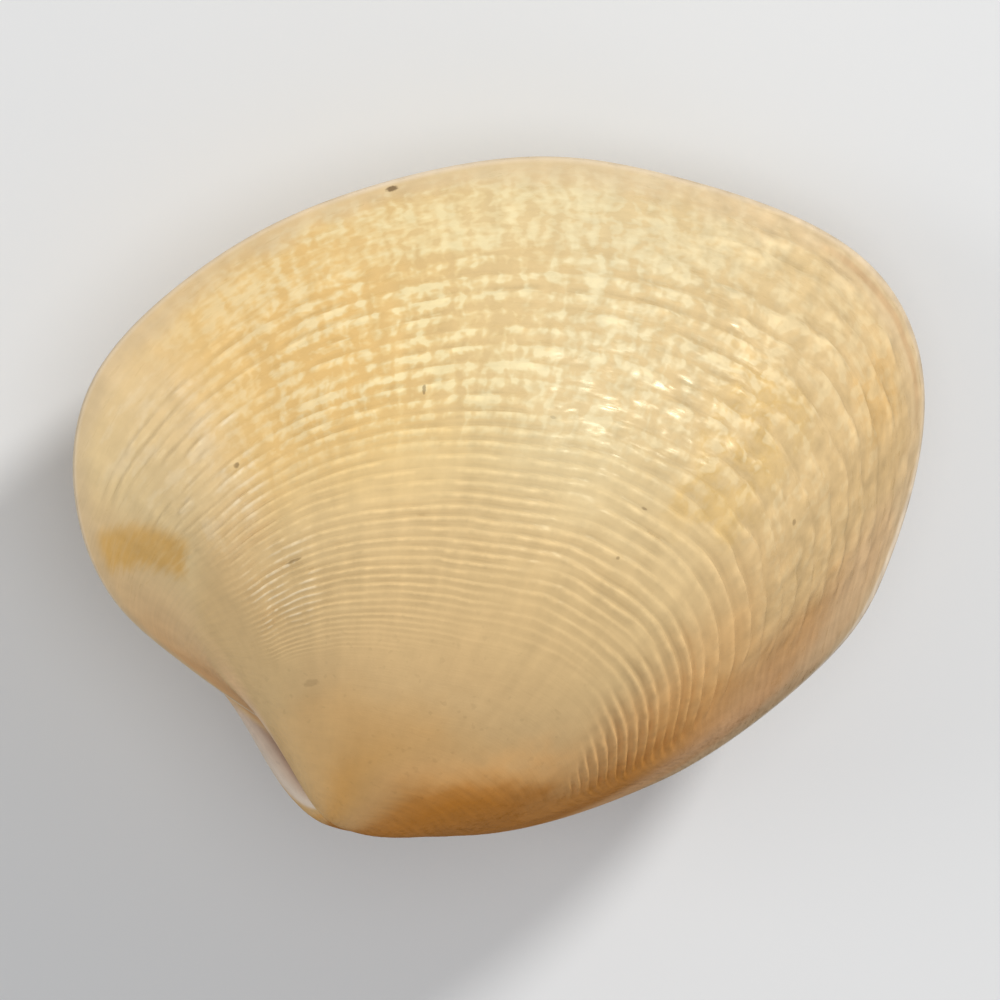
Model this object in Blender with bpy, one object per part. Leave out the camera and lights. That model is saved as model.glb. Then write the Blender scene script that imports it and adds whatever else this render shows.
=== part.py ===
"""A closed venus clam shell: two mirrored valves and the ligament that ties them behind the beaks.

Each valve is a loft of growth lines. A growth line is the valve's edge shrunk towards the beak and swung up
about the hinge axis, so the lines together raise the dome and curl the beak over. Concentric ridges stand on
the dome and fade out on the smooth beak. The shell lies on its left valve with the right valve up. The origin
is on the floor under the middle of the shell, the ventral edge is towards +Y and the anterior end towards -X.
"""

import math

import bmesh
import bpy
import numpy as np
from mathutils import Euler, Matrix, Vector

MM = 0.001

SHELL_LENGTH = 45 * MM
WALL = 2.0 * MM
HINGE_PLATE = 1.5 * MM
VALVE_GAP = 0.3 * MM
BEAK_LIFT = 0.15 * MM
RIDGE_HEIGHT = 0.14 * MM

LIGAMENT_LENGTH = 7.6 * MM
LIGAMENT_WIDTH = 0.9 * MM
LIGAMENT_DEPTH = 1.1 * MM
LIGAMENT_MIDDLE = (6.4 * MM, -0.65 * MM, 0.0)
LIGAMENT_SLOPE = math.radians(-7.5)

# How the shell leans when it comes to rest on the left valve, as turns about X and then about Y.
REST_LEAN = (math.radians(-13.2), math.radians(4.85))

# Control points of the valve's edge, as shares of the shell's length from the beak. The first one is at the
# hinge. They run round the anterior end, the ventral edge and the posterior end.
EDGE = (
    (0.022, 0.040),
    (-0.088, 0.097),
    (-0.200, 0.180),
    (-0.260, 0.231),
    (-0.305, 0.332),
    (-0.301, 0.484),
    (-0.173, 0.605),
    (-0.032, 0.691),
    (0.217, 0.756),
    (0.383, 0.729),
    (0.644, 0.652),
    (0.717, 0.470),
    (0.646, 0.252),
    (0.596, 0.169),
    (0.362, -0.011),
    (0.182, 0.003),
)

# The hinge axis dips towards the posterior end and leans slightly into the shell.
HINGE_DIP = -0.316
HINGE_LEAN = -0.109
TOTAL_TURN = 2.842
TURN_POWER = 0.444
LENGTH_POWER = 1.086
HEIGHT_POWER = 0.930
YOUNG_SHEAR = 0.069
YOUNG_DROP = -0.205

COLUMNS = 36
MAIN_RIDGES = 16
RIDGES_FROM = 0.38
RIDGES_TO = 0.97
RIDGE_CREST = 0.7
BEAK_ROWS = 11
BEAK_TIP = 0.035
CAVITY_ROWS = 9
CAVITY_END = 0.27
PLATE_FROM = 0.7

# Places round the edge, as shares of its length, where the ridges rise at the front and fade out behind.
RIDGES_RISE = (0.12, 0.22)
RIDGES_FADE = (0.82, 0.70)


def edge_points(count):
    """Evenly spaced points along the valve's edge, a closed cubic B-spline that starts at the hinge."""
    control = np.array(EDGE)
    steps = 40
    step = np.arange(steps)[:, None] / steps
    weights = (
        (1 - step) ** 3,
        3 * step**3 - 6 * step**2 + 4,
        -3 * step**3 + 3 * step**2 + 3 * step + 1,
        step**3,
    )
    spans = []
    for start in range(len(control)):
        near = np.roll(control, 1 - start, axis=0)[:4]
        spans.append(sum(weight * point for weight, point in zip(weights, near)) / 6)
    curve = np.concatenate(spans)
    closed = np.vstack([curve, curve[:1]])
    travel = np.concatenate([[0], np.cumsum(np.linalg.norm(np.diff(closed, axis=0), axis=1))])
    wanted = np.linspace(0, travel[-1], count, endpoint=False)
    return np.stack([np.interp(wanted, travel, closed[:, axis]) for axis in (0, 1)], axis=1)


def growth_line(edge, size):
    """The edge as it was when the valve had this share of its final size, in metres."""
    young = 1 - size
    x = size**LENGTH_POWER * (edge[:, 0] + YOUNG_SHEAR * young * edge[:, 1])
    y = size**HEIGHT_POWER * (edge[:, 1] + YOUNG_DROP * young * edge[:, 0])
    flat = np.stack([x, y, np.zeros(len(edge))], axis=1) * SHELL_LENGTH
    axis = Vector((math.cos(HINGE_DIP), math.sin(HINGE_DIP), math.tan(HINGE_LEAN))).normalized()
    turn = np.array(Matrix.Rotation(TOTAL_TURN * (1 - size**TURN_POWER), 3, axis))
    return flat @ turn.T + np.array([0, 0, VALVE_GAP / 2 + BEAK_LIFT * young])


def smooth_step(value, low, high):
    share = np.clip((value - low) / (high - low), 0, 1)
    return share * share * (3 - 2 * share)


def outer_rows():
    """Sizes of the outer growth lines from the edge to the beak, with 1 for a crest and 0 for a groove."""
    step = (RIDGES_FROM / RIDGES_TO) ** (1 / MAIN_RIDGES)
    rows = [(1.0, 0)]
    for ridge in range(MAIN_RIDGES):
        groove = RIDGES_TO * step**ridge
        rows.append((groove, 0))
        rows.append((groove * (RIDGE_CREST + (1 - RIDGE_CREST) * step), 1))
    shrink = (BEAK_TIP / RIDGES_FROM) ** (1 / BEAK_ROWS)
    rows.extend((RIDGES_FROM * shrink**row, 0) for row in range(BEAK_ROWS + 1))
    return rows


def outer_lines(edge):
    """Growth lines of the outer face from the edge to the beak, with the main ridges raised."""
    rows = outer_rows()
    grid = np.array([growth_line(edge, size) for size, _ in rows])
    along = np.roll(grid, -1, axis=1) - np.roll(grid, 1, axis=1)
    outward = np.cross(np.gradient(grid, axis=0), along)
    outward /= np.linalg.norm(outward, axis=2, keepdims=True)
    place = np.arange(len(edge)) / len(edge)
    ribbed = smooth_step(place, *RIDGES_RISE) * smooth_step(place, *RIDGES_FADE)
    crest = np.array([raised for _, raised in rows])
    height = RIDGE_HEIGHT * crest[:, None] * ribbed
    return grid + height[:, :, None] * outward


def inner_lines(edge):
    """Loops of the hollow from the edge inwards, each inset by the wall and by the hinge plate."""
    lines = []
    for size in np.linspace(1, CAVITY_END, CAVITY_ROWS):
        outline = edge * size
        middle = outline.mean(axis=0)
        half = np.ptp(outline, axis=0) * SHELL_LENGTH / 2
        plate = HINGE_PLATE / SHELL_LENGTH * smooth_step(size, PLATE_FROM, 1.0)
        inset = (outline - middle) * (1 - WALL / half) + middle + np.array([0, plate / 2])
        lines.append(growth_line(inset / size, size))
    return lines


def lofted_solid(name, loops, collection, material):
    """A closed solid through the loops in turn, with a fan of triangles at both ends."""
    bm = bmesh.new()
    rings = [[bm.verts.new(point) for point in loop] for loop in loops]
    count = len(rings[0])
    for ring, following in zip(rings, rings[1:]):
        for i in range(count):
            j = (i + 1) % count
            bm.faces.new((ring[i], ring[j], following[j], following[i]))
    for ring, loop in ((rings[0], loops[0]), (rings[-1], loops[-1])):
        middle = bm.verts.new(np.mean(loop, axis=0))
        for i in range(count):
            bm.faces.new((ring[i], ring[(i + 1) % count], middle))
    bmesh.ops.recalc_face_normals(bm, faces=bm.faces)
    return finished(name, bm, collection, material)


def finished(name, bm, collection, material):
    """An object from the bmesh, shaded smooth but for its sharp edges."""
    mesh = bpy.data.meshes.new(name)
    bm.to_mesh(mesh)
    bm.free()
    mesh.materials.append(material)
    mesh.shade_smooth()
    mesh.set_sharp_from_angle(angle=math.radians(45))
    obj = bpy.data.objects.new(name, mesh)
    collection.objects.link(obj)
    return obj


def plain_material(name, color, roughness):
    material = bpy.data.materials.new(name)
    material.use_nodes = True
    shader = material.node_tree.nodes["Principled BSDF"]
    shader.inputs["Base Color"].default_value = (*color, 1)
    shader.inputs["Roughness"].default_value = roughness
    shader.inputs["Metallic"].default_value = 0
    return material


def make_valve(name, side, collection, material):
    """One valve: its outer face from the beak to the edge, and then its hollow."""
    edge = edge_points(COLUMNS)
    loops = list(outer_lines(edge))[::-1] + inner_lines(edge)
    mirrored = np.array([1, 1, side])
    return lofted_solid(name, [loop * mirrored for loop in loops], collection, material)


def make_ligament(collection, material):
    """A spindle in the groove behind the beaks."""
    bm = bmesh.new()
    bmesh.ops.create_uvsphere(bm, u_segments=16, v_segments=10, radius=0.5)
    size = Matrix.Diagonal((LIGAMENT_DEPTH, LIGAMENT_WIDTH, LIGAMENT_LENGTH, 1))
    lay_down = Matrix.Rotation(math.radians(90), 4, "Y")
    bmesh.ops.transform(bm, matrix=lay_down @ size, verts=bm.verts)
    obj = finished("ligament", bm, collection, material)
    obj.location = LIGAMENT_MIDDLE
    obj.rotation_euler = (0, 0, LIGAMENT_SLOPE)
    return obj


def stand_on_floor(rig, pieces):
    """Leans the rig the way the shell rests, and puts the floor under it and the origin under its middle."""
    rig.rotation_euler = Euler((*REST_LEAN, 0))
    bpy.context.view_layer.update()
    corners = np.array([piece.matrix_world @ vertex.co for piece in pieces for vertex in piece.data.vertices])
    low = corners.min(axis=0)
    high = corners.max(axis=0)
    rig.location = (-(low[0] + high[0]) / 2, -(low[1] + high[1]) / 2, -low[2])


def main():
    for obj in list(bpy.data.objects):
        bpy.data.objects.remove(obj)
    collection = bpy.data.collections.new("marcia hiantina shell")
    bpy.context.scene.collection.children.link(collection)
    shell = plain_material("shell", (0.66, 0.50, 0.29), 0.35)
    horn = plain_material("ligament", (0.10, 0.045, 0.02), 0.5)
    pieces = [
        make_valve("right_valve", 1, collection, shell),
        make_valve("left_valve", -1, collection, shell),
        make_ligament(collection, horn),
    ]
    rig = bpy.data.objects.new("shell_rig", None)
    collection.objects.link(rig)
    for piece in pieces:
        piece.parent = rig
    stand_on_floor(rig, pieces)


main()
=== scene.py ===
"""The looks of a closed venus clam shell: its ridged valves, its colours, the ligament, and a plain studio.

The valves are lofts of growth lines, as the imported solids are. Every vertex keeps its place round the edge,
its size of growth and the height of its ridge as attributes, and the material paints the shell from them.
"""

import math

import bpy
import numpy as np
from mathutils import Euler, Matrix, Vector


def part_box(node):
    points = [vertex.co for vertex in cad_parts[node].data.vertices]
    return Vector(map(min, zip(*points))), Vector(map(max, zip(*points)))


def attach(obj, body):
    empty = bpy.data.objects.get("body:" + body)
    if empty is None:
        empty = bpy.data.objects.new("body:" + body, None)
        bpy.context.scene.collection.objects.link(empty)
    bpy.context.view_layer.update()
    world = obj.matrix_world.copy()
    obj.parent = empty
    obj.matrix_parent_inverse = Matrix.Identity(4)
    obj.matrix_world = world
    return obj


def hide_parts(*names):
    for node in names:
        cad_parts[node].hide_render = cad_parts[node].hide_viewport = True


MM = 0.001

SHELL_LENGTH = 45 * MM
WALL = 2.0 * MM
HINGE_PLATE = 1.5 * MM
VALVE_GAP = 0.3 * MM
BEAK_LIFT = 0.15 * MM

LIGAMENT_LENGTH = 7.6 * MM
LIGAMENT_WIDTH = 0.9 * MM
LIGAMENT_DEPTH = 1.1 * MM
LIGAMENT_MIDDLE = Vector((6.4, -0.65, 0.0)) * MM
LIGAMENT_SLOPE = math.radians(-7.5)

# How the shell leans on its left valve, as turns about X and then about Y.
REST_LEAN = (math.radians(-13.2), math.radians(4.85))

# Control points of the valve's edge, as shares of the shell's length from the beak, from the hinge round the
# anterior end, the ventral edge and the posterior end.
EDGE = (
    (0.022, 0.040),
    (-0.088, 0.097),
    (-0.200, 0.180),
    (-0.260, 0.231),
    (-0.305, 0.332),
    (-0.301, 0.484),
    (-0.173, 0.605),
    (-0.032, 0.691),
    (0.217, 0.756),
    (0.383, 0.729),
    (0.644, 0.652),
    (0.717, 0.470),
    (0.646, 0.252),
    (0.596, 0.169),
    (0.362, -0.011),
    (0.182, 0.003),
)

HINGE_DIP = -0.316
HINGE_LEAN = -0.109
TOTAL_TURN = 2.842
TURN_POWER = 0.444
LENGTH_POWER = 1.086
HEIGHT_POWER = 0.930
YOUNG_SHEAR = 0.069
YOUNG_DROP = -0.205

# How finely the surfaces are divided. Where there are no ridges, the columns have SPARSE of their density.
COLUMNS = 288
SPARSE = 0.4
BEAK_TIP = 0.036
CAVITY_ROWS = 16
CAVITY_END = 0.27
PLATE_FROM = 0.7
LIP_ROUND = 0.12 * MM
LIP_ROWS = 5
LIGAMENT_COLUMNS = 72
LIGAMENT_ROWS = 110
LIGAMENT_END = 0.985

# Ridges stand on the shell from this size of growth on, and the rows of the mesh are close together there.
RIDGED_FROM = 0.385
BEAK_STEP = 0.007

# The three spacings of the ridges from the front to the back. A ridge follows for each pitch of the logarithm
# of growth less start, and a lean near 1 makes its far side steeper.
FINE_RIDGES = {"start": 0.25, "pitch": 0.041, "shift": 0.0}
MIDDLE_RIDGES = {"start": 0.155, "pitch": 0.038, "shift": 3.0}
COARSE_RIDGES = {"start": -0.115, "pitch": 0.034, "shift": 12.5}
FINE_LEAN = 0.5
MIDDLE_LEAN = 0.6

# Height of the ridges, and what the grown shell, the back, the front end and the first coarse ridges add.
RIDGE_HEIGHT = 0.036 * MM
GROWN_RISE = 0.024 * MM
BACK_RISE = 0.040 * MM
FRONT_RISE = 0.014 * MM
FIRST_RISE = 0.030 * MM

# Depths of the bumps that are too fine for the mesh.
LINE_BUMP = 0.006 * MM
DENT_BUMP = 0.08 * MM
GRAIN_BUMP = 0.003 * MM
FIBRE_BUMP = 0.03 * MM

# Noise on the ligament repeats this many times a metre: seldom along its length and often across it.
FIBRE_SCALE = (300, 3000, 3000)

RIGHT_SEED = 11
LEFT_SEED = 29
LIGAMENT_SEED = 5

# Keeps the smooth surfaces inside the box of the faceted solids.
FIT = np.array([0.998, 0.999, 1.0])


def smooth_step(value, low, high):
    share = np.clip((value - low) / (high - low), 0, 1)
    return share * share * (3 - 2 * share)


def column_places():
    """Places of the columns as shares of the edge, closer together on the ridged part than at the hinge."""
    fine = np.linspace(0, 1, 2001)
    density = SPARSE + (1 - SPARSE) * smooth_step(fine, 0.10, 0.17) * smooth_step(fine, 0.82, 0.74)
    share = np.concatenate([[0], np.cumsum(density[1:] + density[:-1])])
    return np.interp(np.arange(COLUMNS) / COLUMNS, share / share[-1], fine)


def edge_points(places):
    """Points of the valve's edge, a closed cubic B-spline from the hinge round, at shares of its length."""
    control = np.array(EDGE)
    fine = 80
    step = np.arange(fine)[:, None] / fine
    weights = (
        (1 - step) ** 3,
        3 * step**3 - 6 * step**2 + 4,
        -3 * step**3 + 3 * step**2 + 3 * step + 1,
        step**3,
    )
    spans = []
    for start in range(len(control)):
        near = np.roll(control, 1 - start, axis=0)[:4]
        spans.append(sum(weight * point for weight, point in zip(weights, near)) / 6)
    curve = np.concatenate(spans)
    closed = np.vstack([curve, curve[:1]])
    travel = np.concatenate([[0], np.cumsum(np.linalg.norm(np.diff(closed, axis=0), axis=1))])
    wanted = places * travel[-1]
    return np.stack([np.interp(wanted, travel, closed[:, axis]) for axis in (0, 1)], axis=1)


def growth_line(edge, size):
    """The edge as it was when the valve had this share of its final size, in metres."""
    young = 1 - size
    x = size**LENGTH_POWER * (edge[:, 0] + YOUNG_SHEAR * young * edge[:, 1])
    y = size**HEIGHT_POWER * (edge[:, 1] + YOUNG_DROP * young * edge[:, 0])
    flat = np.stack([x, y, np.zeros(len(edge))], axis=1) * SHELL_LENGTH
    axis = Vector((math.cos(HINGE_DIP), math.sin(HINGE_DIP), math.tan(HINGE_LEAN))).normalized()
    turn = np.array(Matrix.Rotation(TOTAL_TURN * (1 - size**TURN_POWER), 3, axis))
    return flat @ turn.T + np.array([0, 0, VALVE_GAP / 2 + BEAK_LIFT * young])


def outer_sizes():
    """Sizes of the outer growth lines, close together where the ridges are fine."""
    sizes = [1.0]
    while sizes[-1] > BEAK_TIP:
        size = sizes[-1]
        step = 0.0066 * (size - FINE_RIDGES["start"]) if size > RIDGED_FROM else BEAK_STEP
        sizes.append(size - step)
    return np.array(sizes)


def smooth_noise(rng, across, down):
    """Smooth noise between -1 and 1, with a new value for each unit of its coordinates, which start at 0."""
    lattice = rng.uniform(-1, 1, (int(down.max()) + 2, int(across.max()) + 2))
    column = across.astype(int)
    row = down.astype(int)
    x = smooth_step(across - column, 0, 1)
    y = smooth_step(down - row, 0, 1)
    upper = lattice[row, column] * (1 - x) + lattice[row, column + 1] * x
    lower = lattice[row + 1, column] * (1 - x) + lattice[row + 1, column + 1] * x
    return upper * (1 - y) + lower * y


def bent_growth(rng, size, place):
    """Size of growth as the ridges follow it: they rise at both ends of the shell and waver on the way."""
    front = 18 * np.clip(0.24 - place, 0, None) ** 2
    back = 3 * np.clip(place - 0.60, 0, None) ** 2 + 14 * np.clip(place - 0.72, 0, None) ** 2
    shoulder = 0.014 * smooth_step(place, 0.44, 0.52)
    wide = 0.0022 * smooth_noise(rng, 14 * place, 14 * size)
    rear_half = smooth_step(place, 0.50, 0.58) * smooth_step(size, 0.58, 0.70)
    narrow = (0.0010 + 0.0024 * rear_half) * smooth_noise(rng, 50 * place, 40 * size)
    lumps = 0.0016 * rear_half * smooth_noise(rng, 120 * place, 80 * size)
    return size - front - back - shoulder + wide + narrow + lumps


def ridge_count(growth, start, pitch, shift):
    """A number that goes up by one from each ridge to the next, as growth goes on."""
    return np.log(growth - start) / pitch - shift


def ridges(rng, count, lean, place):
    """Height of ridges that climb gently towards the edge and drop fast, and how each is broken in dashes."""
    turn = 2 * math.pi * count
    height = -np.arctan2(lean * np.sin(turn), 1 - lean * np.cos(turn)) / np.arcsin(lean)
    row = count - math.floor(count.min()) + np.arccos(lean) / (2 * math.pi)
    swell = 1 + 0.45 * smooth_noise(rng, 16 * place, row) + 0.40 * smooth_noise(rng, 75 * place, row)
    dash = smooth_step(smooth_noise(rng, 80 * place, row), -0.5, 0.6)
    return height * swell, dash


def relief(size, place, seed):
    """Growth, height of the ridges between about -1 and 1, and their dashes, at each size and place."""
    rng = np.random.default_rng(seed)
    growth = bent_growth(rng, size, place)
    inner = np.clip(growth, 0.30, None)
    fine, fine_dash = ridges(rng, ridge_count(inner, **FINE_RIDGES), FINE_LEAN, place)
    middle, middle_dash = ridges(rng, ridge_count(inner, **MIDDLE_RIDGES), MIDDLE_LEAN, place)
    closer = 15 * np.clip(0.55 - inner, 0, None)
    coarse_lean = 0.4 + 0.35 * smooth_step(inner, 0.48, 0.60)
    coarse, coarse_dash = ridges(rng, ridge_count(inner, **COARSE_RIDGES) - closer, coarse_lean, place)
    stray = 0.03 * smooth_noise(rng, 6 * place, 20 * size)
    to_middle = smooth_step(place + stray, 0.44, 0.52)
    to_coarse = smooth_step(place + stray, 0.54, 0.62)
    height = fine * (1 - to_middle) + middle * to_middle * (1 - to_coarse) + coarse * to_coarse
    dash = fine_dash * (1 - to_middle) + middle_dash * to_middle * (1 - to_coarse) + coarse_dash * to_coarse
    rear_half = smooth_step(place, 0.50, 0.56)
    strength = ridge_strength(size, place, growth, stray, dash, rear_half)
    pucker = 0.6 * smooth_noise(rng, 62 * place, 44 * inner) + smooth_noise(rng, 110 * place, 85 * inner)
    puckered = smooth_step(place, 0.40, 0.48) * smooth_step(place, 0.76, 0.68)
    puckered *= smooth_step(growth, 0.60, 0.70) * (0.35 + 0.40 * rear_half)
    return growth, height * strength + pucker * puckered, dash


def ridge_strength(size, place, growth, stray, dash, rear_half):
    """How far the ridges stand out, from 0 on the beak and at both ends to 1, and less near the edge."""
    start = RIDGED_FROM - 0.10 * smooth_step(place, 0.57, 0.70) + stray
    strength = smooth_step(growth, start, start + 0.16 - 0.09 * smooth_step(place, 0.58, 0.68))
    ventral = smooth_step(growth, 0.63, 0.72)
    strength *= 1 - ventral * (0.75 - 0.6 * dash) * (1 - 0.45 * rear_half)
    strength *= 1 - smooth_step(growth + stray, 0.84, 0.92) * (1 - 0.8 * rear_half)
    strength *= smooth_step(size, RIDGED_FROM, RIDGED_FROM + 0.03)
    front_end = 0.215 - 0.03 * smooth_step(size, 0.58, 0.72)
    strength *= smooth_step(place, front_end - 0.02, front_end + 0.025)
    rear_end = 0.71 + 0.03 * smooth_step(size, 0.38, 0.50) - 0.025 * smooth_step(size, 0.61, 0.66)
    strength *= smooth_step(place, rear_end + 0.02, rear_end - 0.025)
    return strength * (1 - 0.45 * smooth_step(place, 0.60, 0.68) * smooth_step(size, 0.63, 0.70))


def ridge_height(size, place):
    """How high the ridges stand, in metres: fine ones low, coarse ones at the back higher."""
    grown = smooth_step(size, 0.48, 0.64)
    back = smooth_step(place, 0.48, 0.64)
    front = smooth_step(place, 0.32, 0.25)
    first = smooth_step(place, 0.62, 0.70) * smooth_step(size, 0.60, 0.50)
    return RIDGE_HEIGHT + GROWN_RISE * grown + BACK_RISE * back + FRONT_RISE * front + FIRST_RISE * first


def valve_grid(side, seed):
    """Points of one valve's outer face, with place, size, growth, ridge height and dashes for each."""
    columns = column_places()
    edge = edge_points(columns)
    sizes = outer_sizes()
    grid = np.array([growth_line(edge, size) for size in sizes])
    along = np.roll(grid, -1, axis=1) - np.roll(grid, 1, axis=1)
    outward = np.cross(np.gradient(grid, axis=0), along)
    outward /= np.linalg.norm(outward, axis=2, keepdims=True)
    place = np.broadcast_to(columns, grid.shape[:2])
    size = np.broadcast_to(sizes[:, None], grid.shape[:2])
    growth, ridge, dash = relief(size, place, seed)
    height = ridge_height(size, place) * ridge * smooth_step(size, 1.0, 0.985)
    points = grid + height[:, :, None] * outward
    return points, {"place": place, "size": size, "growth": growth, "ridge": ridge, "dash": dash}, edge


def inner_lines(edge):
    """Loops of the hollow from the edge inwards, each inset by the wall and by the hinge plate."""
    lines = []
    for size in np.linspace(1, CAVITY_END, CAVITY_ROWS):
        outline = edge * size
        middle = outline.mean(axis=0)
        half = np.ptp(outline, axis=0) * SHELL_LENGTH / 2
        plate = HINGE_PLATE / SHELL_LENGTH * smooth_step(size, PLATE_FROM, 1.0)
        inset = (outline - middle) * (1 - WALL / half) + middle + np.array([0, plate / 2])
        lines.append(growth_line(inset / size, size))
    return lines


def lip_lines(rim, inner):
    """Loops that round the lip over from the outer face to its flat underside."""
    inward = inner - rim
    inward /= np.linalg.norm(inward, axis=1, keepdims=True)
    down = np.array([0, 0, -1.0])
    lines = []
    for turn in np.linspace(0, math.pi / 2, LIP_ROWS + 1)[1:]:
        lines.append(rim + LIP_ROUND * (inward * (1 - math.cos(turn)) + down * math.sin(turn)))
    return lines


def world_points(points):
    """Points in the shell's own frame, with the beak at its origin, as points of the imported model's frame."""
    low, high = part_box("ligament")
    lean = Euler((*REST_LEAN, 0)).to_matrix()
    beak = (low + high) / 2 - lean @ LIGAMENT_MIDDLE
    return (points @ np.array(lean).T + np.array(beak)) * FIT


def lofted(name, loops, values):
    """A closed mesh through the loops, fanned at both ends, with a float attribute for each of the values."""
    count = len(loops[0])
    rows = len(loops)
    middles = np.array([loops[0].mean(axis=0), loops[-1].mean(axis=0)])
    points = np.vstack([np.concatenate(loops), middles])
    column = np.arange(count)
    following = (column + 1) % count
    faces = []
    for row in range(rows - 1):
        start = row * count
        quad = (start + column, start + following, start + count + following, start + count + column)
        faces.extend(np.stack(quad, 1).tolist())
    first = rows * count
    faces.extend(np.stack([following, column, np.full(count, first)], 1).tolist())
    last = (rows - 1) * count
    faces.extend(np.stack([last + column, last + following, np.full(count, first + 1)], 1).tolist())
    mesh = bpy.data.meshes.new(name)
    mesh.from_pydata(world_points(points).tolist(), [], faces)
    for key, rows_of_values in values.items():
        flat = np.concatenate([np.asarray(line, float) for line in rows_of_values])
        ends = [np.mean(rows_of_values[0]), np.mean(rows_of_values[-1])]
        attribute = mesh.attributes.new(key, "FLOAT", "POINT")
        attribute.data.foreach_set("value", np.concatenate([flat, ends]).astype(np.float32))
    mesh.validate()
    mesh.shade_smooth()
    obj = bpy.data.objects.new(name, mesh)
    bpy.context.scene.collection.objects.link(obj)
    return obj


def make_valve(node, side, seed, material):
    points, fields, edge = valve_grid(side, seed)
    inner = inner_lines(edge)
    lip = lip_lines(points[0], inner[0])
    inner[0] = inner[0] - np.array([0, 0, LIP_ROUND])
    mirrored = np.array([1, 1, side])
    loops = [loop * mirrored for loop in [*points[::-1], *lip, *inner]]
    spare = len(lip) + len(inner)
    values = {key: [*field[::-1], *[field[0]] * spare] for key, field in fields.items()}
    values["inside"] = [np.zeros(COLUMNS)] * len(points) + [np.ones(COLUMNS)] * spare
    values["side"] = [np.full(COLUMNS, 2 + side)] * len(loops)
    if side > 0:
        loops.reverse()
        values = {key: lines[::-1] for key, lines in values.items()}
    obj = lofted(node + "_surface", loops, values)
    obj.data.materials.append(material)
    obj.data.set_sharp_from_angle(angle=math.radians(60))
    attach(obj, "root")
    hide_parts(node)


def make_ligament(material):
    """A spindle of horny fibres that run along it, in the groove behind the beaks."""
    rng = np.random.default_rng(LIGAMENT_SEED)
    rows = np.linspace(-LIGAMENT_END, LIGAMENT_END, LIGAMENT_ROWS)
    columns = np.arange(LIGAMENT_COLUMNS) / LIGAMENT_COLUMNS
    along, around = np.meshgrid(rows, columns, indexing="ij")
    seam = smooth_step(around, 0.0, 0.05) * smooth_step(around, 1.0, 0.95)
    fibres = smooth_noise(rng, 22 * around, 4 * (along + 1))
    fibres += 0.5 * smooth_noise(rng, 40 * around, 9 * (along + 1))
    rings = smooth_noise(rng, 3 * around, 24 * (along + 1))
    thickness = np.sqrt(1 - along**2) * (0.92 + seam * (0.045 * fibres + 0.015 * rings))
    angle = 2 * math.pi * around
    spindle = np.stack(
        [
            along * LIGAMENT_LENGTH / 2,
            thickness * np.cos(angle) * LIGAMENT_WIDTH / 2,
            thickness * np.sin(angle) * LIGAMENT_DEPTH / 2,
        ],
        axis=2,
    )
    slope = np.array(Matrix.Rotation(LIGAMENT_SLOPE, 3, "Z"))
    loops = list(spindle @ slope.T + np.array(LIGAMENT_MIDDLE))
    obj = lofted("ligament_fibres", loops, {})
    obj.data.materials.append(material)
    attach(obj, "root")
    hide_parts("ligament")


def tint(red, green, blue):
    """A screen colour of 0 to 255 as the linear colour that a shader takes."""
    linear = []
    for value in (red, green, blue):
        share = value / 255
        linear.append(share / 12.92 if share <= 0.04045 else ((share + 0.055) / 1.055) ** 2.4)
    return (*linear, 1)


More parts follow.
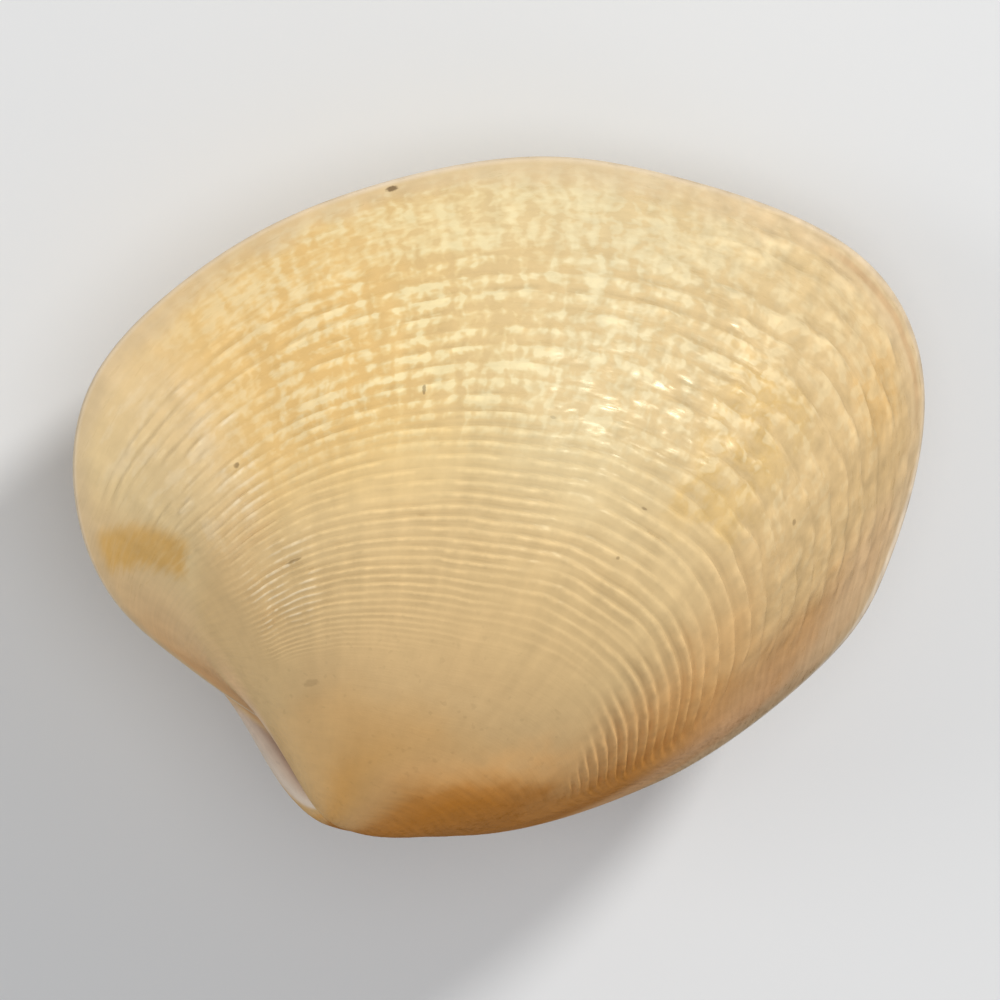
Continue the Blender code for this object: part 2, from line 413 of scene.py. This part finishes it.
class Graph:
    """Short names for the shader nodes that the materials use. A value is a socket or a plain number."""

    def __init__(self, name):
        self.material = bpy.data.materials.new(name)
        self.material.use_nodes = True
        self.tree = self.material.node_tree
        self.shader = self.tree.nodes["Principled BSDF"]

    def put(self, value, socket):
        if isinstance(value, bpy.types.NodeSocket):
            self.tree.links.new(value, socket)
        else:
            socket.default_value = value

    def attribute(self, name):
        node = self.tree.nodes.new("ShaderNodeAttribute")
        node.attribute_name = name
        return node.outputs["Fac"]

    def math(self, operation, first, second=0.0):
        node = self.tree.nodes.new("ShaderNodeMath")
        node.operation = operation
        self.put(first, node.inputs[0])
        self.put(second, node.inputs[1])
        return node.outputs[0]

    def add(self, first, second):
        return self.math("ADD", first, second)

    def times(self, first, *others):
        for other in others:
            first = self.math("MULTIPLY", first, other)
        return first

    def step(self, value, low, high, start=0.0, end=1.0):
        """Goes smoothly from start at low to end at high."""
        node = self.tree.nodes.new("ShaderNodeMapRange")
        node.interpolation_type = "SMOOTHSTEP"
        self.put(value, node.inputs["Value"])
        self.put(low, node.inputs["From Min"])
        self.put(high, node.inputs["From Max"])
        node.inputs["To Min"].default_value = start
        node.inputs["To Max"].default_value = end
        return node.outputs["Result"]

    def band(self, value, rise, top, fall, end):
        """Rises from rise to top, holds, and falls from fall to end."""
        return self.times(self.step(value, rise, top), self.step(value, end, fall))

    def vector(self, x, y, z=0.0):
        node = self.tree.nodes.new("ShaderNodeCombineXYZ")
        for value, socket in zip((x, y, z), node.inputs):
            self.put(value, socket)
        return node.outputs[0]

    def scaled(self, scale):
        """The surface point times scale, so that a noise on it repeats every 1 / scale metres."""
        node = self.tree.nodes.new("ShaderNodeMapping")
        node.inputs["Scale"].default_value = (scale, scale, scale)
        self.put(self.tree.nodes.new("ShaderNodeTexCoord").outputs["Object"], node.inputs["Vector"])
        return node.outputs["Vector"]

    def noise(self, vector, detail=2.0, roughness=0.5):
        node = self.tree.nodes.new("ShaderNodeTexNoise")
        self.put(vector, node.inputs["Vector"])
        node.inputs["Scale"].default_value = 1.0
        node.inputs["Detail"].default_value = detail
        node.inputs["Roughness"].default_value = roughness
        return node.outputs["Fac"]

    def pattern(self, place, across, growth, along, seed, detail=2.0, roughness=0.5):
        """Noise that changes about as often as across round the whole edge and as along from beak to edge."""
        where = self.vector(self.times(place, across), self.times(growth, along), seed)
        return self.noise(where, detail, roughness)

    def centred(self, noise):
        """A noise of 0 to 1 as one of -0.5 to 0.5."""
        return self.add(noise, -0.5)

    def mix(self, share, first, second):
        node = self.tree.nodes.new("ShaderNodeMix")
        node.data_type = "RGBA"
        self.put(share, node.inputs["Factor"])
        self.put(first, node.inputs["A"])
        self.put(second, node.inputs["B"])
        return node.outputs["Result"]

    def brighten(self, share, color):
        """The colour times share."""
        node = self.tree.nodes.new("ShaderNodeVectorMath")
        node.operation = "SCALE"
        self.put(color, node.inputs[0])
        self.put(share, node.inputs["Scale"])
        return node.outputs[0]

    def ramp(self, value, stops):
        node = self.tree.nodes.new("ShaderNodeValToRGB")
        self.put(value, node.inputs["Fac"])
        elements = node.color_ramp.elements
        while len(elements) < len(stops):
            elements.new(0.5)
        for element, (position, color) in zip(elements, stops):
            element.position = position
            element.color = color
        return node.outputs["Color"]

    def bump(self, height, distance, normal=None):
        node = self.tree.nodes.new("ShaderNodeBump")
        node.inputs["Distance"].default_value = distance
        self.put(height, node.inputs["Height"])
        if normal is not None:
            self.put(normal, node.inputs["Normal"])
        return node.outputs["Normal"]


# The young shell, by size of growth.
YOUNG = (
    (0.19, tint(218, 165, 94)),
    (0.25, tint(209, 162, 99)),
    (0.30, tint(202, 161, 105)),
    (0.37, tint(200, 167, 118)),
    (0.50, tint(204, 174, 124)),
    (0.65, tint(211, 184, 135)),
)
# The grown shell, by place round the edge.
GROWN = (
    (0.09, tint(221, 172, 118)),
    (0.13, tint(226, 189, 139)),
    (0.19, tint(233, 204, 151)),
    (0.245, tint(227, 196, 144)),
    (0.27, tint(226, 191, 130)),
    (0.36, tint(219, 187, 127)),
    (0.47, tint(207, 186, 141)),
    (0.53, tint(203, 179, 133)),
    (0.66, tint(208, 175, 124)),
)
# The brown slope behind the beaks, by distance towards the hinge.
REAR = (
    (0.60, tint(210, 170, 116)),
    (0.65, tint(218, 170, 110)),
    (0.69, tint(214, 161, 97)),
    (0.73, tint(200, 136, 63)),
    (0.78, tint(197, 127, 43)),
    (0.90, tint(195, 126, 44)),
)
# The paler slope that grew last, by place. Its stops beyond 0.75 are lighter partly as painted light on the
# limb that lies in shade.
REAR_GROWN = (
    (0.67, tint(208, 171, 119)),
    (0.715, tint(194, 150, 99)),
    (0.74, tint(197, 152, 103)),
    (0.77, tint(218, 168, 118)),
    (0.82, tint(218, 166, 112)),
)
# The lunule in front of the beaks, by place; its dark brown inner end is partly brown colour and partly painted
# shadow in the gap between the valves.
LUNULE = (
    (0.05, tint(128, 94, 74)),
    (0.072, tint(178, 144, 120)),
    (0.095, tint(216, 190, 166)),
    (0.15, tint(238, 218, 196)),
)
# The pale marks, by place.
CREAM = (
    (0.24, tint(236, 216, 172)),
    (0.38, tint(231, 213, 163)),
    (0.48, tint(218, 203, 162)),
    (0.58, tint(217, 194, 148)),
)
# The horn of the ligament, from the valleys between its fibres to their backs.
HORN = (
    (0.30, tint(46, 28, 16)),
    (0.55, tint(84, 54, 30)),
    (0.75, tint(132, 92, 52)),
)
FRONT = tint(225, 190, 135)
FRONT_LOW = tint(242, 200, 149)
BEAK_FRONT = tint(230, 189, 130)
REAR_PALE = tint(208, 175, 133)
MARGIN = tint(206, 181, 143)
RAY = tint(222, 175, 99)
TAN = tint(202, 173, 123)
TAN_FRONT = tint(214, 172, 104)
OLIVE = tint(200, 166, 104)
ORANGE = tint(205, 162, 96)
# Painted highlight on the crests of the front ridges, partly pale shell colour; the pale clouds in front of
# them take it too.
GLINT = tint(247, 228, 192)
GROOVE = tint(172, 118, 66)
RIM = tint(230, 214, 192)
INSIDE = tint(228, 214, 190)
DIRT = tint(104, 78, 48)

# Small brown specks on the right valve: place, size, half the width in place, half the height in size, and
# strength.
SPECKS = (
    (0.3775, 0.986, 0.0030, 0.0045, 0.80),
    (0.381, 0.703, 0.0013, 0.006, 0.55),
    (0.256, 0.699, 0.0020, 0.004, 0.60),
    (0.278, 0.531, 0.0075, 0.0024, 0.50),
    (0.281, 0.357, 0.0120, 0.0060, 0.20),
    (0.463, 0.675, 0.0022, 0.0020, 0.28),
    (0.540, 0.623, 0.0024, 0.0014, 0.50),
    (0.540, 0.567, 0.0014, 0.002, 0.45),
    (0.632, 0.732, 0.0016, 0.003, 0.45),
)


def ground_color(g, grown, at, rear, growth):
    """The colour under the markings: young shell, grown shell, front and the brown slope at the rear."""
    young = g.brighten(g.step(at, 0.26, 0.58, 1.12, 0.96), g.ramp(grown, YOUNG))
    color = g.mix(g.step(grown, 0.53, 0.67), young, g.ramp(at, GROWN))
    color = g.mix(g.times(g.step(at, 0.29, 0.21), g.step(grown, 0.70, 0.58)), color, FRONT)
    color = g.mix(g.times(g.step(at, 0.17, 0.12), g.step(grown, 0.68, 0.52)), color, FRONT_LOW)
    color = g.mix(g.times(g.step(at, 0.37, 0.28), g.step(grown, 0.36, 0.28), 0.7), color, BEAK_FRONT)
    blotch = g.step(g.pattern(at, 60, growth, 30, 0.0, 3, 0.6), 0.40, 0.58, 0.15, 0.8)
    olive = g.times(g.band(at, 0.54, 0.56, 0.59, 0.62), g.band(grown, 0.61, 0.65, 0.79, 0.84))
    color = g.mix(g.times(olive, blotch), color, OLIVE)
    orange = g.times(g.band(at, 0.610, 0.622, 0.640, 0.655), g.band(growth, 0.84, 0.87, 0.91, 0.94))
    color = g.mix(g.times(orange, 0.5), color, ORANGE)
    lit = g.times(g.band(at, 0.33, 0.38, 0.56, 0.60), g.band(growth, 0.86, 0.89, 0.93, 0.96))
    color = g.mix(g.times(lit, 0.35), color, g.ramp(at, CREAM))
    late = g.mix(g.step(grown, 0.80, 0.90, 0, 0.8), g.ramp(at, REAR_GROWN), REAR_PALE)
    color = g.mix(g.times(g.step(at, 0.66, 0.715), g.step(grown, 0.54, 0.66)), color, late)
    return g.mix(g.times(g.step(rear, 0.58, 0.68), g.step(grown, 0.74, 0.54)), color, g.ramp(rear, REAR))


def cream_marks(g, place, growth, ridge, dash, side, color):
    """Cream flecks on the ridges, thin links across them, and tan ground between them; their lean to the crests
    is partly painted highlight.
    """
    warp = g.centred(g.pattern(place, 45, growth, 34, side))
    x = g.add(place, g.times(warp, 0.010))
    y = g.add(growth, g.times(warp, 0.007))
    fleck = g.pattern(x, 170, y, 105, side, 1)
    link = g.pattern(x, 190, y, 20, g.add(side, 3), 1)
    broad = g.pattern(x, 22, y, 12, g.add(side, 5))
    shared = g.add(g.add(g.times(fleck, 0.52), g.times(link, 0.52)), g.times(broad, 0.36))
    edge_zone = g.step(growth, 0.86, 0.90)
    # Crests lean towards cream and grooves towards tan: partly the shell's own pattern and partly painted
    # highlight on the crests.
    crest = g.times(g.step(ridge, -0.35, 0.35, -0.085, 0.060), g.step(edge_zone, 0, 1, 1, 0.25))
    chance = g.add(g.add(shared, crest), g.times(g.centred(dash), 0.06))
    where = g.times(g.band(growth, 0.60, 0.72, 0.97, 1.0), g.band(place, 0.22, 0.31, 0.60, 0.74))
    soft = g.times(g.step(place, 0.64, 0.54, 0.5, 1), g.step(edge_zone, 0, 1, 1, 0.85))
    tan = g.mix(g.step(place, 0.33, 0.42), TAN_FRONT, TAN)
    color = g.mix(g.times(g.step(chance, 0.69, 0.60), where, soft, 0.60), color, tan)
    cream = g.times(g.step(chance, 0.675, 0.83), where, soft, g.step(place, 0.28, 0.38, 0.5, 0.85))
    return g.mix(cream, color, g.ramp(place, CREAM))


def glints_and_pale_clouds(g, place, growth, ridge, side, color):
    """Painted highlights on the crests of the front half of the ridges, partly pale shell colour, and pale
    clouds in front of them.
    """
    clouds = g.pattern(place, 42, growth, 26, g.add(side, 8), 3, 0.6)
    first = g.times(g.band(place, 0.215, 0.25, 0.28, 0.31), g.band(growth, 0.42, 0.47, 0.53, 0.59))
    second = g.times(g.band(place, 0.23, 0.255, 0.262, 0.275), g.band(growth, 0.60, 0.65, 0.76, 0.82))
    crest = g.times(g.step(ridge, 0.0, 0.8), g.add(first, second), g.step(clouds, 0.42, 0.56))
    # Painted highlight on these crests, partly pale shell colour.
    color = g.mix(g.times(crest, 0.6), color, GLINT)
    front = g.times(g.band(place, 0.17, 0.21, 0.25, 0.27), g.band(growth, 0.56, 0.66, 0.92, 0.98))
    return g.mix(g.times(g.step(clouds, 0.48, 0.64), front, 0.26), color, GLINT)


def front_ray(g, place, size, growth, side, color):
    """The one golden ray, which runs from the front end of the edge towards the beak."""
    middle = g.add(0.150, g.times(g.add(g.times(size, -1), 0.97), 0.135))
    grain = g.pattern(place, 55, growth, 75, side, 3, 0.6)
    feather = g.centred(grain)
    off = g.math("ABSOLUTE", g.add(g.add(place, g.times(middle, -1)), g.times(feather, 0.010)))
    half = g.step(size, 1.0, 0.70, 0.0085, 0.0115)
    inside = g.step(g.math("DIVIDE", off, half), 1.5, 0.5)
    end = g.add(size, g.times(feather, 0.05))
    ray = g.times(inside, g.step(end, 0.660, 0.705), g.step(size, 0.99, 0.93, 0.25, 1))
    return g.mix(g.times(ray, g.step(grain, 0.3, 0.6, 0.68, 0.95)), color, RAY)


def specks(g, place, size, side, color):
    """The few brown specks of the right valve, whose side is the larger of the two."""
    shake = g.centred(g.noise(g.scaled(5000), 1))
    for middle, grown, wide, high, strength in SPECKS:
        across = g.times(g.add(place, -middle), 1 / wide)
        along = g.times(g.add(size, -grown), 1 / high)
        reach = g.add(g.add(g.times(across, across), g.times(along, along)), g.times(shake, 1.6))
        mask = g.times(g.step(reach, 1.3, 0.3), g.step(side, 1.5, 2.5))
        color = g.mix(g.times(mask, strength), color, DIRT)
    return color


def lunule_and_rim(g, place, size, grown, side, color):
    """The pale lunule in front of the beaks, whose dark inner end is partly brown colour and partly painted
    shadow between the valves, the greyer margin, and the pale rim with a brown line in it, made stronger at the
    back as painted light on the limb in shade.
    """
    beyond = g.add(g.add(0.30, g.times(size, -0.35)), g.times(place, -1))
    reach = g.add(place, g.step(side, 1.5, 2.5, 0, 0.07))
    lunule = g.times(g.step(beyond, -0.02, 0.03), g.step(reach, 0.23, 0.18), g.step(size, 0.72, 0.50))
    # The lunule's ramp goes dark brown at its inner end, next to the other valve: partly brown colour and
    # partly painted shadow in the gap between the valves.
    color = g.mix(lunule, color, g.ramp(place, LUNULE))
    color = g.mix(g.times(g.step(grown, 0.935, 0.985), 0.6), color, MARGIN)
    line = g.times(g.band(size, 0.972, 0.978, 0.981, 0.987), g.band(place, 0.56, 0.59, 0.64, 0.68), 0.3)
    color = g.mix(line, color, GROOVE)
    # The rim is partly the shell's own pale edge; at the back it is made stronger as painted light on the limb
    # that lies in shade.
    rim = g.step(g.add(size, g.step(place, 0.68, 0.75, 0, 0.012)), 0.988, 0.999)
    rim_pale_and_painted_light = g.add(g.times(g.band(place, 0.34, 0.37, 0.40, 0.44), 0.25), g.step(place, 0.66, 0.70, 0.4, 0.7))
    return g.mix(g.times(rim, rim_pale_and_painted_light), color, RIM)


def brightness(g, place, size, growth, ridge, rear, side):
    """One factor near 1 for the streaks, clouds, faint rays, mottle, pores, and painted shade in the grooves
    and painted highlight on the crests of the ridges.
    """
    streak = g.centred(g.pattern(place, 12, growth, 130, side))
    streaked = g.math("MAXIMUM", g.step(place, 0.22, 0.16, 0.07, 0.14), g.step(rear, 0.64, 0.72, 0, 0.34))
    cloud = g.centred(g.noise(g.scaled(900), 4, 0.6))
    bright = g.add(g.add(1.0, g.times(streak, streaked)), g.times(cloud, 0.20))
    column = g.centred(g.pattern(place, 75, growth, 3, g.add(side, 11)))
    bright = g.add(bright, g.times(column, g.step(size, 0.30, 0.50, 0.05, 0.22)))
    broken = g.centred(g.pattern(place, 100, growth, 55, g.add(side, 13)))
    bright = g.add(bright, g.times(g.step(ridge, -0.2, 0.8), broken, 0.45))
    mottle = g.centred(g.pattern(place, 150, growth, 70, g.add(side, 17)))
    mottled = g.times(g.band(place, 0.44, 0.54, 0.70, 0.76), g.step(growth, 0.58, 0.70), 0.34)
    bright = g.add(bright, g.times(mottle, mottled))
    pore = g.step(g.noise(g.scaled(2300), 1), 0.66, 0.74)
    bright = g.add(bright, g.times(pore, g.step(size, 0.55, 0.35), g.step(place, 0.66, 0.60), -0.08))
    # Painted shade in the grooves and painted highlight on the crests, by the ridge height, which includes the
    # puckers.
    return g.times(bright, g.step(ridge, -1.0, -0.2, 0.88, 1.0), g.step(ridge, 0.3, 1.1, 1.0, 1.08))


def shell_surface(g, place, growth, side):
    """The shell's roughness, shine and fine bumps, which fade on the rear slope."""
    gloss = g.pattern(place, 70, growth, 90, side)
    dull = g.step(growth, 0.70, 0.58, 0, 0.16)
    g.put(g.add(g.step(gloss, 0.44, 0.68, 0.56, 0.25), dull), g.shader.inputs["Roughness"])
    g.shader.inputs["Specular IOR Level"].default_value = 0.4
    g.shader.inputs["Specular Tint"].default_value = (1.0, 0.95, 0.70, 1)
    clean = g.step(place, 0.78, 0.68, 0.15, 1)
    lines = g.pattern(place, 16, growth, 420, side, 3, 0.6)
    normal = g.bump(g.times(lines, clean), LINE_BUMP)
    dents = g.pattern(place, 55, growth, 70, side)
    uneven = g.times(g.band(growth, 0.58, 0.70, 0.90, 0.97), g.band(place, 0.22, 0.44, 0.56, 0.70))
    normal = g.bump(g.times(dents, uneven), DENT_BUMP, normal)
    normal = g.bump(g.times(g.noise(g.scaled(9000), 2), clean), GRAIN_BUMP, normal)
    g.put(normal, g.shader.inputs["Normal"])


def shell_material():
    """Cream and golden shell: coloured by place and size of growth, with pale marks, painted highlight and
    shade on the ridges, and one golden ray.
    """
    g = Graph("shell")
    place = g.attribute("place")
    size = g.attribute("size")
    growth = g.attribute("growth")
    ridge = g.attribute("ridge")
    side = g.attribute("side")
    wander = g.centred(g.noise(g.scaled(420), 3))
    at = g.add(place, g.times(wander, 0.030))
    grown = g.add(size, g.times(wander, -0.06))
    rear = g.add(at, g.step(grown, 0.42, 0.20, 0, 0.22))

    color = ground_color(g, grown, at, rear, growth)
    # Darker brown in the grooves of the rear slope, by the ridge height.
    groove = g.times(g.step(ridge, 0.1, -0.8), g.step(rear, 0.68, 0.78))
    color = g.mix(g.times(groove, 0.5), color, GROOVE)
    color = cream_marks(g, place, growth, ridge, g.attribute("dash"), side, color)
    color = glints_and_pale_clouds(g, place, growth, ridge, side, color)
    color = front_ray(g, place, size, growth, side, color)
    color = lunule_and_rim(g, place, size, grown, side, color)
    color = specks(g, place, size, side, color)
    color = g.mix(g.attribute("inside"), color, INSIDE)
    color = g.brighten(brightness(g, place, size, growth, ridge, rear, side), color)
    g.put(color, g.shader.inputs["Base Color"])
    shell_surface(g, place, growth, side)
    return g.material


def ligament_material():
    """Dark brown horn with fibres along its length."""
    g = Graph("ligament")
    where = g.tree.nodes.new("ShaderNodeTexCoord").outputs["Object"]
    stretched = g.tree.nodes.new("ShaderNodeMapping")
    stretched.inputs["Scale"].default_value = FIBRE_SCALE
    g.put(where, stretched.inputs["Vector"])
    fibre = g.noise(stretched.outputs["Vector"], 3, 0.6)
    g.put(g.ramp(fibre, HORN), g.shader.inputs["Base Color"])
    g.put(g.step(fibre, 0.3, 0.7, 0.42, 0.62), g.shader.inputs["Roughness"])
    g.put(g.bump(fibre, FIBRE_BUMP), g.shader.inputs["Normal"])
    return g.material


# The camera looks at a point in the shell's own frame, from turns about the shell's own axes.
CAMERA_TARGET = Vector((0.19108, 0.34996, 0.0)) * SHELL_LENGTH
CAMERA_YAW = -0.181
CAMERA_PITCH = -0.008
CAMERA_DISTANCE = 8.2411 * SHELL_LENGTH
CAMERA_LENS = 258.96
SENSOR_WIDTH = 36
CLIP_START = 0.01
CLIP_END = 10

FLOOR_HALF = 3.0
FLOOR_COLOR = (0.72, 0.72, 0.71, 1)
FLOOR_ROUGHNESS = 0.9
SKY_COLOR = (0.9, 0.93, 1.0, 1)
SKY_STRENGTH = 0.36

# Round lights: name, azimuth and elevation in degrees, distance, size, power, and whether it gives glints.
LIGHTS = (
    ("key", 33, 34, 0.7, 0.11, 3.4, True),
    ("side", -80, 35, 0.8, 0.30, 0.9, True),
    ("top", 0, 80, 0.9, 0.60, 2.2, False),
    ("fill", 130, 25, 0.8, 0.40, 0.4, False),
)


def make_camera():
    """The photograph's view: nearly square on to the right valve, from a little in front of the beaks."""
    back = Vector(
        (
            math.sin(CAMERA_YAW) * math.cos(CAMERA_PITCH),
            math.sin(CAMERA_PITCH),
            math.cos(CAMERA_YAW) * math.cos(CAMERA_PITCH),
        )
    )
    right = Vector((0, 1, 0)).cross(back).normalized()
    up = back.cross(right)
    lean = Euler((*REST_LEAN, 0)).to_matrix()
    place = Vector(world_points(np.array([CAMERA_TARGET + back * CAMERA_DISTANCE]))[0])
    turn = lean @ Matrix((right, up, back)).transposed()
    data = bpy.data.cameras.new("camera")
    data.lens = CAMERA_LENS
    data.sensor_width = SENSOR_WIDTH
    data.clip_start = CLIP_START
    data.clip_end = CLIP_END
    camera = bpy.data.objects.new("camera", data)
    camera.matrix_world = Matrix.Translation(place) @ turn.to_4x4()
    bpy.context.scene.collection.objects.link(camera)
    bpy.context.scene.camera = camera


def area_light(name, azimuth, elevation, distance, size, power, glossy):
    """A round light that looks at the shell. Azimuth runs from +Y towards +X."""
    turn = math.radians(azimuth)
    rise = math.radians(elevation)
    towards = Vector((math.sin(turn) * math.cos(rise), math.cos(turn) * math.cos(rise), math.sin(rise)))
    data = bpy.data.lights.new(name, "AREA")
    data.shape = "DISK"
    data.size = size
    data.energy = power
    light = bpy.data.objects.new(name, data)
    light.visible_glossy = glossy
    light.location = towards * distance
    light.rotation_euler = towards.to_track_quat("Z", "Y").to_euler()
    bpy.context.scene.collection.objects.link(light)


def make_floor():
    half = FLOOR_HALF
    points = [(-half, -half, 0), (half, -half, 0), (half, half, 0), (-half, half, 0)]
    mesh = bpy.data.meshes.new("floor")
    mesh.from_pydata(points, [], [(0, 1, 2, 3)])
    material = bpy.data.materials.new("floor")
    material.use_nodes = True
    shader = material.node_tree.nodes["Principled BSDF"]
    shader.inputs["Base Color"].default_value = FLOOR_COLOR
    shader.inputs["Roughness"].default_value = FLOOR_ROUGHNESS
    mesh.materials.append(material)
    floor = bpy.data.objects.new("floor", mesh)
    bpy.context.scene.collection.objects.link(floor)
    floor.visible_glossy = False


def make_studio():
    """A plain pale floor under a soft sky and four soft lights."""
    make_floor()
    for light in LIGHTS:
        area_light(*light)
    world = bpy.data.worlds.new("studio")
    world.use_nodes = True
    background = world.node_tree.nodes["Background"]
    background.inputs["Color"].default_value = SKY_COLOR
    background.inputs["Strength"].default_value = SKY_STRENGTH
    world.cycles_visibility.glossy = False
    bpy.context.scene.world = world
    bpy.context.scene.view_settings.view_transform = "Standard"


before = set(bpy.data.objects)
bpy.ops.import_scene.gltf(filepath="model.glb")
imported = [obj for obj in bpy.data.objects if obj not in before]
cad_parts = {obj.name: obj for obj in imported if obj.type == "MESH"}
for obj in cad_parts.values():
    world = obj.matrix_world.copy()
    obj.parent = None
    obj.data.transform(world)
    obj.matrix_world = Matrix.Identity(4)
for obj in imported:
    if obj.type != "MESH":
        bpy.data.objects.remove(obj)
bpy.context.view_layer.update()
shell = shell_material()
make_valve("right_valve", 1, RIGHT_SEED, shell)
make_valve("left_valve", -1, LEFT_SEED, shell)
make_ligament(ligament_material())
make_camera()
make_studio()
